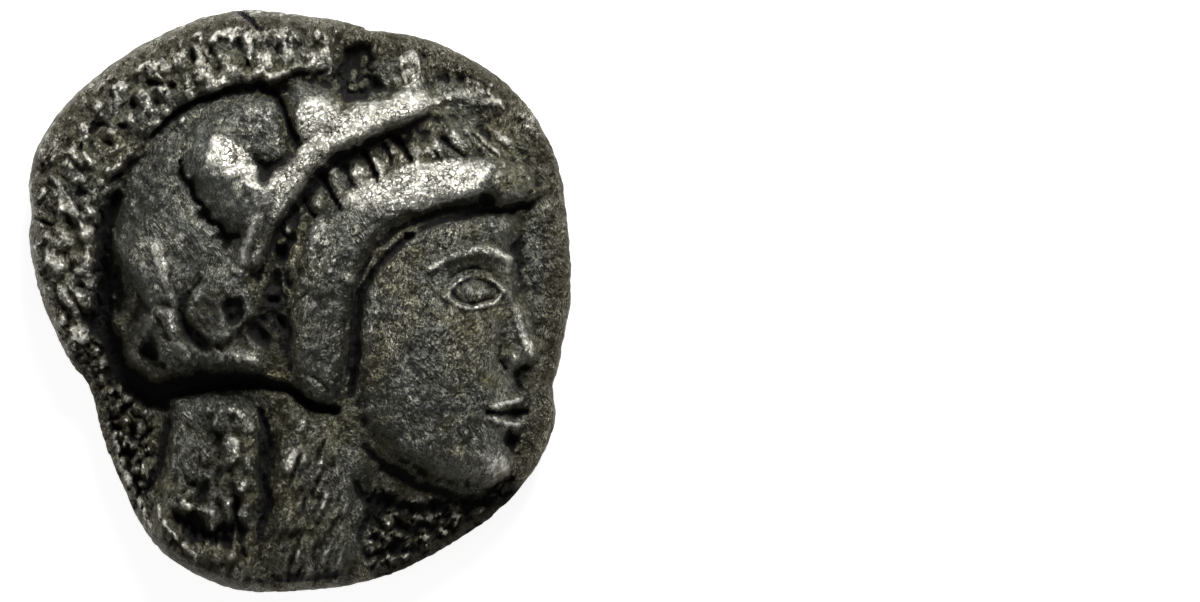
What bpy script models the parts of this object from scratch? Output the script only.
"""Silver obol: a small, thick, hand-struck coin, built as one solid.

The upper face (obverse) carries a head in a crested helmet, facing right. The underside (reverse) is a
shallow sunk field inside an uneven rim, with an owl and an olive sprig. The coin lies on its reverse: +Z is
up, +Y points to the top of the head, and the origin is under the middle of the coin, on the surface that
it lies on. Lengths in this file are millimetres, and the mesh is scaled to metres at the end.
"""

import math

import bmesh
import bpy
import numpy as np

MM = 0.001

# The flan: its outline is a radius every 15 degrees about the flan's middle, counterclockwise from +X
FLAN_MIDDLE = (0.12, 0.14)
FLAN_RADII = (
    4.20, 4.29, 4.52, 4.58, 4.48, 4.34, 4.38, 4.60, 4.68, 4.77, 4.84, 4.56,
    4.22, 3.93, 3.86, 4.18, 4.67, 4.83, 4.73, 4.67, 4.60, 4.61, 4.50, 4.18,
)
EDGE_NOTCHES = (  # bearing, half width, depth
    (76.0, 4.0, 0.07), (165.0, 3.0, 0.06), (203.5, 6.0, 0.11), (339.0, 4.0, 0.10),
)
EDGE_MIDDLE = 0.62  # height of the widest part of the edge
OBVERSE_ROUNDING = 0.45  # how far in from the outline the upper face is rounded off
REVERSE_ROUNDING = 0.40
TORN_EDGE = (173.0, 13.0, 0.50)  # bearing, half width and extra rounding where the underside is torn away
GRID_ANGLE = 55.0  # steepest part of the rounding that belongs to the faces; the rest is the side wall

# Levels of the two fields above the surface that the coin lies on
OBVERSE_FIELD = 0.86
OBVERSE_SWELL = 0.08  # how much the middle of the upper face stands above its border
REVERSE_FIELD = 0.30
RIM_WEAR = 0.012  # how much of the underside's highest points is worn flat

# The reverse was struck turned against the obverse, and is seen from below in a mirrored frame
REVERSE_TURN = 127.0

# Mesh fineness
FACE_CELLS = 44
WALL_ROWS = 4
CURVE_STEPS = 8

SILVER = (0.30, 0.29, 0.26, 1.0)


def smooth(low, high, value):
    """Rise smoothly from 0 at low to 1 at high."""
    t = np.clip((value - low) / (high - low), 0.0, 1.0)
    return t * t * (3.0 - 2.0 * t)


def curve_through(points, closed=False):
    """A smooth curve through a few points, as a dense chain of points (Catmull-Rom)."""
    knots = np.array(points, dtype=float)
    if closed:
        knots = np.vstack((knots[-1], knots, knots[:2]))
    else:
        knots = np.vstack((2 * knots[0] - knots[1], knots, 2 * knots[-1] - knots[-2]))
    t = np.linspace(0.0, 1.0, CURVE_STEPS, endpoint=False)[:, None]
    chain = []
    for before, start, end, after in zip(knots, knots[1:], knots[2:], knots[3:]):
        chain.append(
            start
            + 0.5 * t * (end - before)
            + t**2 * (before - 2.5 * start + 2.0 * end - 0.5 * after)
            + 0.5 * t**3 * (after - before + 3.0 * (start - end))
        )
    chain.append(knots[-2][None, :])
    return np.vstack(chain)


def distance_to(x, y, chain):
    """Distance from each point to a chain, and how far along the chain the nearest place is, from 0 to 1."""
    start, step = chain[:-1], np.diff(chain, axis=0)
    span = np.maximum((step**2).sum(axis=1), 1e-12)
    from_x, from_y = x[:, None] - start[:, 0], y[:, None] - start[:, 1]
    along = np.clip((from_x * step[:, 0] + from_y * step[:, 1]) / span, 0.0, 1.0)
    distance = np.hypot(from_x - along * step[:, 0], from_y - along * step[:, 1])
    nearest = distance.argmin(axis=1)
    rows = np.arange(len(x))
    return distance[rows, nearest], (nearest + along[rows, nearest]) / len(step)


def inside(x, y, chain):
    """Whether each point lies inside a closed chain, by counting the sides that a ray to the right meets."""
    ax, ay = chain[:-1, 0], chain[:-1, 1]
    bx, by = chain[1:, 0], chain[1:, 1]
    spans = (ay > y[:, None]) != (by > y[:, None])
    rise = np.where(by == ay, 1.0, by - ay)
    meets = ax + (y[:, None] - ay) * (bx - ax) / rise
    return (spans & (x[:, None] < meets)).sum(axis=1) % 2 == 1


def plateau(x, y, height, shoulder, outline):
    """A raised (or sunk) area inside a closed outline, with a rounded shoulder of the given width."""
    chain = curve_through(outline, closed=True)
    distance, _ = distance_to(x, y, chain)
    return height * np.where(inside(x, y, chain), smooth(0.0, shoulder, distance), 0.0)


def ridge(x, y, height, half_width, line):
    """A rounded ridge (or groove) along a line; half_width is one width, or its start and end widths."""
    distance, along = distance_to(x, y, curve_through(line))
    first, last = half_width if isinstance(half_width, tuple) else (half_width, half_width)
    t = np.clip(distance / (first + (last - first) * along), 0.0, 1.0)
    return height * (1.0 - t * t) ** 2


def mound(x, y, height, radii, middle, turn=0.0):
    """A rounded oval mound (or hollow)."""
    cosine, sine = math.cos(math.radians(turn)), math.sin(math.radians(turn))
    across, up = x - middle[0], y - middle[1]
    t = np.hypot((across * cosine + up * sine) / radii[0], (up * cosine - across * sine) / radii[1])
    return height * (1.0 - np.clip(t, 0.0, 1.0) ** 2) ** 2


# Obverse, in the coin's own frame. Each plateau: height, shoulder, outline
OBVERSE_PLATEAUS = {
    "head": (0.26, 0.50, (
        (-2.95, 0.3), (-2.9, 1.2), (-2.3, 2.5), (-1.2, 3.3), (0.2, 3.5), (1.8, 3.4), (3.2, 2.8), (3.75, 1.9),
        (3.55, 0.9), (3.4, -1.0), (3.35, -2.4), (2.7, -2.95), (1.6, -2.75), (1.05, -3.1), (1.0, -4.2),
        (-0.6, -4.2), (-0.6, -1.6), (-2.2, -1.3), (-2.75, -0.8),
    )),
    "crest": (0.32, 0.16, (
        (-3.30, -0.6), (-3.20, 0.4), (-3.18, 1.1), (-2.95, 1.8), (-2.4, 2.5), (-1.9, 2.95), (-1.2, 3.35),
        (-0.4, 3.45), (0.4, 3.62), (0.62, 3.95), (0.7, 5.2), (-2.0, 5.6), (-4.6, 4.0), (-5.4, 1.5),
        (-5.0, -1.0), (-3.6, -0.9),
    )),
    "helmet bowl": (0.17, 0.22, (
        (-2.9, 0.9), (-2.84, 1.2), (-2.6, 1.7), (-2.4, 2.3), (-1.9, 2.84), (-1.3, 3.1), (-0.45, 3.2),
        (-0.24, 2.9), (-0.2, 2.2), (-0.5, 1.2), (-0.75, 0.5), (-0.5, -0.9), (-1.3, -1.1), (-2.0, -1.1),
        (-2.5, -0.5), (-2.5, 0.14), (-2.78, 0.55),
    )),
    "worn leaf at the front": (0.12, 0.20, (
        (1.46, 3.3), (1.48, 3.62), (1.6, 3.98), (1.92, 4.02), (2.04, 3.7), (2.04, 3.3),
    )),
    "hollow between the leaves": (-0.20, 0.18, (
        (0.74, 3.0), (0.56, 3.4), (0.58, 3.84), (0.78, 4.08), (1.18, 4.1), (1.3, 3.7), (1.44, 3.32),
        (1.1, 3.18),
    )),
    "band over the brow": (0.29, 0.32, (
        (-0.12, -1.02), (-0.14, -0.4), (0.0, 0.7), (0.22, 1.26), (0.52, 1.46), (0.86, 1.8), (1.62, 2.16),
        (2.7, 2.28), (3.7, 2.1), (3.75, 1.6), (2.6, 1.46), (1.6, 1.12), (1.22, 0.74), (0.98, 0.3),
        (0.86, -0.3), (0.82, -0.9), (0.66, -1.42), (0.3, -1.62), (0.06, -1.4),
    )),
    "loop at the nape": (0.12, 0.16, (
        (-1.92, -0.16), (-2.2, -0.1), (-2.56, -0.28), (-2.7, -0.66), (-2.6, -1.0), (-2.3, -1.24),
        (-1.96, -1.22), (-1.7, -1.08), (-1.6, -0.86), (-1.8, -0.56),
    )),
    "disc of the scroll": (0.13, 0.16, (
        (-1.16, 0.54), (-1.46, 0.4), (-1.72, 0.06), (-1.78, -0.3), (-1.56, -0.56), (-1.3, -0.7),
        (-0.98, -0.58), (-0.8, -0.34), (-0.58, -0.22), (-0.56, 0.12), (-0.72, 0.44),
    )),
    "hollow before the loop": (-0.18, 0.20, (
        (-2.62, 0.2), (-2.68, -0.1), (-2.8, -0.3), (-3.1, -0.1), (-3.1, 0.4), (-2.86, 0.6),
    )),
    "ledge under the helmet": (-0.14, 0.16, (
        (-2.76, -0.5), (-2.72, -1.0), (-2.46, -1.3), (-1.95, -1.32), (-0.7, -1.16), (-0.5, -1.34),
        (-1.2, -1.44), (-1.88, -1.52), (-2.0, -1.76), (-2.46, -1.72), (-2.84, -1.4), (-3.04, -0.9),
    )),
    "knot of hair": (0.34, 0.28, (
        (-1.98, -1.75), (-1.86, -1.5), (-1.2, -1.4), (-0.7, -1.6), (-0.58, -2.2), (-0.54, -3.0),
        (-0.6, -3.9), (-0.7, -4.9), (-1.6, -4.8), (-2.5, -4.2), (-2.36, -3.5), (-2.12, -2.6),
    )),
    "pit in the knot": (-0.30, 0.22, (
        (-2.08, -3.16), (-1.58, -3.24), (-1.32, -3.44), (-1.2, -3.06), (-0.78, -3.1), (-0.8, -3.6),
        (-0.92, -3.86), (-1.44, -3.92), (-1.96, -3.56),
    )),
    "neck": (0.12, 0.30, ((-0.42, -1.8), (0.6, -1.9), (0.96, -2.9), (1.0, -4.0), (0.5, -4.5), (-0.42, -4.4))),
    "field under the chin": (-0.10, 0.25, (
        (1.05, -2.9), (1.9, -3.0), (2.7, -3.0), (3.4, -2.6), (3.6, -3.2), (2.6, -4.0), (1.4, -4.5),
        (1.02, -4.2),
    )),
    "face": (0.26, 0.26, (
        (0.95, 0.4), (1.6, 1.2), (2.6, 1.45), (3.5, 1.36), (3.44, 0.6), (3.62, -0.2), (3.86, -0.85),
        (3.54, -1.16), (3.6, -1.52), (3.5, -1.76), (3.56, -1.96), (3.42, -2.2), (3.44, -2.55), (3.3, -2.85),
        (2.9, -2.98), (2.3, -2.84), (1.7, -2.55), (1.05, -1.95), (0.9, -1.2),
    )),
}

# The wreath's pieces run into one another, so the highest of them counts
OBVERSE_WREATH = {
    "leaf low on the bowl": (0.29, 0.50, (
        (-0.5, 1.84), (-0.8, 2.38), (-1.02, 2.58), (-1.3, 2.67), (-1.58, 2.56), (-1.78, 2.24), (-1.74, 1.86),
        (-1.42, 1.34), (-0.98, 1.02), (-1.06, 0.44), (-0.66, 0.42), (-0.5, 0.9), (-0.3, 1.62),
    )),
    "stem": (0.29, 0.24, (
        (-0.42, 1.4), (-0.48, 1.72), (-0.12, 2.14), (0.22, 2.78), (0.76, 3.02), (1.42, 3.24), (1.6, 3.42),
        (2.02, 3.4), (2.1, 2.98), (1.32, 2.63), (0.6, 2.28), (0.14, 1.76), (-0.3, 1.2),
    )),
    "leaf high on the bowl": (0.29, 0.36, (
        (0.76, 2.9), (0.6, 3.27), (0.4, 3.46), (0.12, 3.58), (-0.14, 3.54), (-0.26, 3.3), (-0.2, 3.0),
        (0.02, 2.44), (0.3, 2.4), (0.6, 2.6),
    )),
}

# Each ridge or groove: height, half width, line
OBVERSE_RIDGES = {
    "groove inside the crest": (-0.26, (0.20, 0.16), (
        (-3.10, -0.45), (-3.06, 0.1), (-3.04, 1.1), (-2.88, 1.62),
    )),
    "thin groove round the bowl": (-0.16, 0.12, (
        (-2.7, 2.2), (-2.3, 2.6), (-1.84, 3.04), (-1.3, 3.24), (-0.4, 3.3),
    )),
    "stem's far end": (0.09, (0.17, 0.12), ((2.05, 3.18), (2.45, 3.2), (2.95, 3.3), (3.2, 3.32))),
    "stem's lower edge": (0.07, (0.20, 0.18), (
        (-0.1, 1.66), (0.28, 2.14), (0.64, 2.42), (1.02, 2.62), (1.9, 3.04),
    )),
    "sunk row under the stem": (-0.16, (0.24, 0.32), (
        (-0.3, -0.5), (-0.32, 0.2), (-0.22, 0.9), (0.1, 1.6), (0.56, 2.12), (1.2, 2.42), (2.0, 2.62),
        (3.0, 2.66),
    )),
    "crown of the band": (0.07, (0.32, 0.26), (
        (0.5, 0.3), (0.8, 0.9), (1.25, 1.4), (1.9, 1.68), (2.7, 1.8), (3.3, 1.78),
    )),
    "groove under the band": (-0.24, (0.14, 0.18), (
        (0.78, -1.62), (0.9, -1.1), (0.93, -0.5), (0.97, 0.0), (1.14, 0.4), (1.4, 0.78), (1.85, 1.14),
        (2.3, 1.3),
    )),
    "tendril": (0.12, 0.14, (
        (-2.1, 0.35), (-2.04, -0.1), (-1.86, -0.5), (-1.5, -0.86), (-0.9, -0.9), (-0.64, -1.05),
    )),
    "groove behind the helmet": (-0.34, (0.28, 0.26), (
        (-3.3, -0.3), (-3.0, -0.6), (-2.8, -1.05), (-2.35, -1.46),
    )),
    "groove under the helmet": (-0.36, (0.20, 0.12), (
        (-2.35, -1.46), (-1.85, -1.36), (-1.3, -1.28), (-0.7, -1.28), (-0.2, -1.38), (0.2, -1.62),
        (0.6, -1.74),
    )),
    "lock in the pit": (0.14, 0.12, ((-1.14, -3.2), (-1.08, -3.6), (-1.16, -4.0))),
    "groove beside the knot": (-0.12, 0.12, ((-0.56, -1.75), (-0.5, -2.7), (-0.56, -3.6))),
    "groove under the jaw": (-0.10, (0.12, 0.18), (
        (1.05, -2.3), (1.4, -2.62), (2.0, -2.95), (2.7, -3.12), (3.3, -3.02),
    )),
    "brow": (0.10, 0.14, ((2.1, 0.5), (2.5, 0.72), (2.95, 0.78), (3.36, 0.66))),
    "bridge of the nose": (0.16, (0.16, 0.26), ((3.34, 0.62), (3.36, 0.3), (3.5, -0.2), (3.66, -0.7))),
    "lips": (0.10, 0.16, ((3.1, -1.76), (3.3, -1.76), (3.52, -1.74))),
}

# Each mound or hollow: height, radii, middle, turn in degrees
OBVERSE_MOUNDS = {
    "swell of the head": (0.14, (2.9, 3.0), (0.4, 0.6), 0.0),
    "swell of the bowl": (0.07, (1.5, 2.1), (-1.5, 1.2), -20.0),
    "hole of the loop": (-0.16, (0.24, 0.28), (-2.22, -0.74), 0.0),
    "eye of the scroll": (-0.14, (0.24, 0.26), (-1.0, -0.16), 0.0),
    "hollow by the scroll": (-0.18, (0.20, 0.34), (-0.62, -0.52), 30.0),
    "cheek": (0.20, (1.35, 1.75), (2.25, -0.9), 12.0),
    "forehead": (0.06, (0.9, 0.5), (2.7, 1.05), 0.0),
    "eye socket": (-0.15, (0.62, 0.40), (2.86, 0.24), 6.0),
    "eyeball": (0.16, (0.34, 0.25), (2.80, 0.16), 4.0),
    "wing of the nose": (0.13, (0.22, 0.19), (3.42, -0.90), 0.0),
    "chin": (0.13, (0.42, 0.34), (3.12, -2.56), 0.0),
}

# Reverse, in its own frame as seen from below, with its middle at the flan's middle
SUNK_FIELD = (
    (-3.5, 0.9), (-3.1, 2.15), (-2.2, 3.02), (-0.8, 3.84), (0.2, 4.1), (1.2, 3.92), (2.0, 3.42), (3.6, 1.98),
    (4.28, 0.2), (4.28, -1.0), (4.16, -1.8), (3.7, -2.25), (2.8, -2.4), (1.2, -3.22), (0.0, -3.44),
    (-1.2, -3.52), (-2.2, -3.2), (-2.9, -2.6), (-3.36, -1.6), (-3.52, -0.4),
)
SUNK_SHOULDER = 0.62
REVERSE_PLATEAUS = {
    "owl's body": (0.24, 0.42, (
        (-2.95, -0.5), (-2.82, -0.2), (-2.0, 0.34), (-1.5, 0.74), (-0.3, 1.14), (0.5, 1.47), (1.1, 1.42),
        (1.55, 1.2), (1.62, 0.85), (1.5, 0.3), (1.2, -0.15), (0.3, -1.0), (-0.1, -1.3), (-0.36, -1.8),
        (-0.75, -1.9), (-1.1, -1.8), (-1.25, -1.16), (-1.7, -1.08), (-2.1, -1.26), (-2.62, -1.4),
        (-2.9, -1.1),
    )),
    "owl's head": (0.24, 0.30, (
        (-0.4, 2.45), (-0.25, 2.92), (0.25, 3.26), (0.9, 3.32), (1.6, 3.26), (2.15, 3.0), (2.46, 2.45),
        (2.44, 1.84), (2.05, 1.52), (1.4, 1.4), (0.5, 1.5), (-0.1, 1.78),
    )),
    "hollow behind the head": (-0.16, 0.22, (
        (-0.7, 2.34), (-0.66, 1.7), (-0.3, 1.46), (0.3, 1.5), (-0.16, 2.0), (-0.42, 2.3),
    )),
    "thigh": (0.20, 0.20, (
        (-1.86, -1.36), (-1.66, -1.24), (-1.3, -1.66), (-1.24, -1.94), (-1.46, -2.06), (-1.8, -1.66),
    )),
    "tail tip": (0.18, 0.18, ((-2.64, -1.84), (-2.2, -1.46), (-2.1, -1.56), (-2.34, -1.98), (-2.5, -2.04))),
    "ledge in the rim": (-0.12, 0.14, (
        (1.8, -3.1), (2.2, -2.9), (2.8, -2.5), (3.6, -2.4), (4.3, -2.2), (4.2, -2.8), (3.0, -3.4),
        (2.0, -3.7),
    )),
}
REVERSE_SPRIG = {
    "stem of the sprig": (0.20, 0.20, (
        (-1.1, 3.4), (-1.4, 3.3), (-1.85, 3.08), (-2.24, 2.9), (-2.5, 2.62), (-2.36, 2.44), (-2.0, 2.56),
        (-1.66, 2.86), (-1.06, 3.26),
    )),
    "long leaf": (0.20, 0.26, (
        (-2.02, 2.46), (-2.3, 2.54), (-2.56, 2.36), (-2.88, 1.7), (-2.88, 1.32), (-2.74, 0.96), (-2.5, 0.8),
        (-2.24, 0.96), (-2.1, 1.3), (-2.06, 1.9),
    )),
    "short leaf": (0.20, 0.20, (
        (-1.8, 2.84), (-1.48, 2.96), (-1.36, 2.1), (-1.14, 1.66), (-1.34, 1.56), (-1.56, 1.7), (-1.74, 2.3),
    )),
}
REVERSE_RIDGES = {
    "near leg": (0.19, (0.20, 0.18), ((-0.58, -1.8), (-0.46, -2.4), (-0.33, -2.98))),
    "far leg": (0.19, 0.20, ((-1.62, -2.1), (-1.6, -2.6), (-1.58, -2.98))),
    "shadow under the tail": (-0.20, (0.20, 0.16), (
        (-3.0, -1.3), (-2.84, -1.6), (-2.5, -1.52), (-2.1, -1.34), (-1.6, -1.12),
    )),
    "ground": (0.10, 0.14, ((-2.2, -2.96), (-1.75, -3.04), (-1.35, -3.06), (-1.0, -2.98))),
    "toes": (0.12, 0.14, ((-0.4, -3.04), (-0.15, -3.22), (0.05, -3.42))),
}
REVERSE_MOUNDS = {
    "swell of the body": (0.08, (1.7, 0.75), (-0.5, -0.1), 36.0),
    "bright eye": (0.16, (0.36, 0.35), (1.66, 2.48), 0.0),
    "dark eye": (-0.12, (0.20, 0.26), (0.02, 2.45), 0.0),
    "brow": (0.08, (0.48, 0.46), (0.86, 2.66), 0.0),
    "beak": (0.12, (0.14, 0.34), (1.13, 2.06), 20.0),
    "beside the sprig": (0.06, (0.34, 0.52), (-0.96, 2.2), 0.0),
    "pit by the tail": (-0.18, (0.22, 0.18), (-3.2, -0.24), 25.0),
}


def flan_radius(bearing):
    """Radius of the flan's outline at a bearing in degrees: a smooth closed curve, less its notches."""
    radii = np.array(FLAN_RADII)
    place = np.mod(bearing, 360.0) / 360.0 * len(radii)
    index, t = np.floor(place).astype(int), np.mod(place, 1.0)
    before, start, end, after = (radii[(index + k) % len(radii)] for k in (-1, 0, 1, 2))
    radius = (
        start
        + 0.5 * t * (end - before)
        + t**2 * (before - 2.5 * start + 2.0 * end - 0.5 * after)
        + 0.5 * t**3 * (after - before + 3.0 * (start - end))
    )
    for middle, half_width, depth in EDGE_NOTCHES:
        radius = radius - depth * bell(bearing, middle, half_width)
    return radius


def bell(bearing, middle, half_width):
    """A bell curve round the edge, 1 at its middle bearing."""
    turn = np.mod(bearing - middle + 180.0, 360.0) - 180.0
    return np.exp(-((turn / half_width) ** 2))


def relief(x, y, plateaus, joined, ridges, mounds):
    """Sum of the named features at each point, with the highest of the joined plateaus."""
    height = np.max([plateau(x, y, *feature) for feature in joined.values()], axis=0)
    for feature in plateaus.values():
        height += plateau(x, y, *feature)
    for feature in ridges.values():
        height += ridge(x, y, *feature)
    for feature in mounds.values():
        height += mound(x, y, *feature)
    return height


def obverse_level(x, y, share):
    """Height of the upper face; share is the distance from the flan's middle, 1 at its outline."""
    swell = OBVERSE_SWELL * (1.0 - share**2)
    raised = relief(x, y, OBVERSE_PLATEAUS, OBVERSE_WREATH, OBVERSE_RIDGES, OBVERSE_MOUNDS)
    return OBVERSE_FIELD + swell + raised


def reverse_level(x, y):
    """Height of the underside: the sunk field, less its relief, with the highest points worn flat at zero."""
    turn = math.radians(REVERSE_TURN)
    across, up = x - FLAN_MIDDLE[0], y - FLAN_MIDDLE[1]
    own_x = math.cos(turn) * across + math.sin(turn) * up
    own_y = math.sin(turn) * across - math.cos(turn) * up
    sunk = plateau(own_x, own_y, REVERSE_FIELD + RIM_WEAR, SUNK_SHOULDER, SUNK_FIELD)
    raised = relief(own_x, own_y, REVERSE_PLATEAUS, REVERSE_SPRIG, REVERSE_RIDGES, REVERSE_MOUNDS)
    return np.maximum(sunk - RIM_WEAR - raised, 0.0)


def flan_surface(u, v, w):
    """Carry the points of a cube, each from -1 to 1, onto the coin.

    The cube's top and bottom become the two faces, by pressing a square into a disc and scaling it to the
    outline. Its four walls become the rounded edge, which turns from the lower face's steepness to the
    upper face's.
    """
    disc_x, disc_y = u * np.sqrt(1.0 - v * v / 2.0), v * np.sqrt(1.0 - u * u / 2.0)
    share = np.hypot(disc_x, disc_y)
    bearing = np.degrees(np.arctan2(disc_y, disc_x))
    radius = flan_radius(bearing)
    under = REVERSE_ROUNDING + TORN_EDGE[2] * bell(bearing, TORN_EDGE[0], TORN_EDGE[1])
    rounding = np.where(w > 0.0, OBVERSE_ROUNDING, under)
    slope = np.radians(GRID_ANGLE * w)
    face_radius = radius - rounding * (1.0 - math.cos(math.radians(GRID_ANGLE)))
    on_wall = np.abs(w) < 1.0 - 1e-6
    reach = np.where(on_wall, radius - rounding * (1.0 - np.cos(slope)), share * face_radius)
    level_reach = np.where(on_wall, face_radius, reach)
    cosine, sine = np.cos(np.radians(bearing)), np.sin(np.radians(bearing))
    level_x, level_y = FLAN_MIDDLE[0] + level_reach * cosine, FLAN_MIDDLE[1] + level_reach * sine
    level = np.where(
        w > 0.0, obverse_level(level_x, level_y, level_reach / radius), reverse_level(level_x, level_y)
    )
    inward = np.clip((radius - reach) / rounding, 0.0, 1.0)
    fullness = np.where(on_wall, np.abs(np.sin(slope)), np.sqrt(1.0 - (1.0 - inward) ** 2))
    height = EDGE_MIDDLE + fullness * (level - EDGE_MIDDLE)
    return FLAN_MIDDLE[0] + reach * cosine, FLAN_MIDDLE[1] + reach * sine, height


def silver_material():
    """Dark, worn silver."""
    material = bpy.data.materials.new("toned_silver")
    material.use_nodes = True
    shader = material.node_tree.nodes["Principled BSDF"]
    shader.inputs["Base Color"].default_value = SILVER
    shader.inputs["Metallic"].default_value = 0.9
    shader.inputs["Roughness"].default_value = 0.45
    return material


def build_coin(collection):
    """Model the coin from a cube: divide it, carry its points onto the coin, and split it into triangles."""
    shape = bmesh.new()
    bmesh.ops.create_cube(shape, size=2.0)
    level_edges = [e for e in shape.edges if abs(e.verts[0].co.z - e.verts[1].co.z) < 0.5]
    bmesh.ops.subdivide_edges(shape, edges=level_edges, cuts=FACE_CELLS - 1, use_grid_fill=True)
    upright_edges = [e for e in shape.edges if abs(e.verts[0].co.z - e.verts[1].co.z) > 0.5]
    bmesh.ops.subdivide_edges(shape, edges=upright_edges, cuts=WALL_ROWS - 1, use_grid_fill=True)
    corners = np.array([vert.co[:] for vert in shape.verts])
    places = np.column_stack(flan_surface(*corners.T))
    middle = (places.min(axis=0) + places.max(axis=0)) / 2.0
    places[:, :2] -= middle[:2]
    for vert, place in zip(shape.verts, places):
        vert.co = place * MM
    bmesh.ops.triangulate(shape, faces=shape.faces, quad_method="BEAUTY")
    mesh = bpy.data.meshes.new("obol")
    shape.to_mesh(mesh)
    shape.free()
    mesh.shade_smooth()
    mesh.materials.append(silver_material())
    coin = bpy.data.objects.new("obol", mesh)
    collection.objects.link(coin)
    return coin


def main():
    """Clear the scene and build the coin in a collection of its own."""
    for old in list(bpy.data.objects):
        bpy.data.objects.remove(old, do_unlink=True)
    collection = bpy.data.collections.new("silver_obol")
    bpy.context.scene.collection.children.link(collection)
    build_coin(collection)


main()
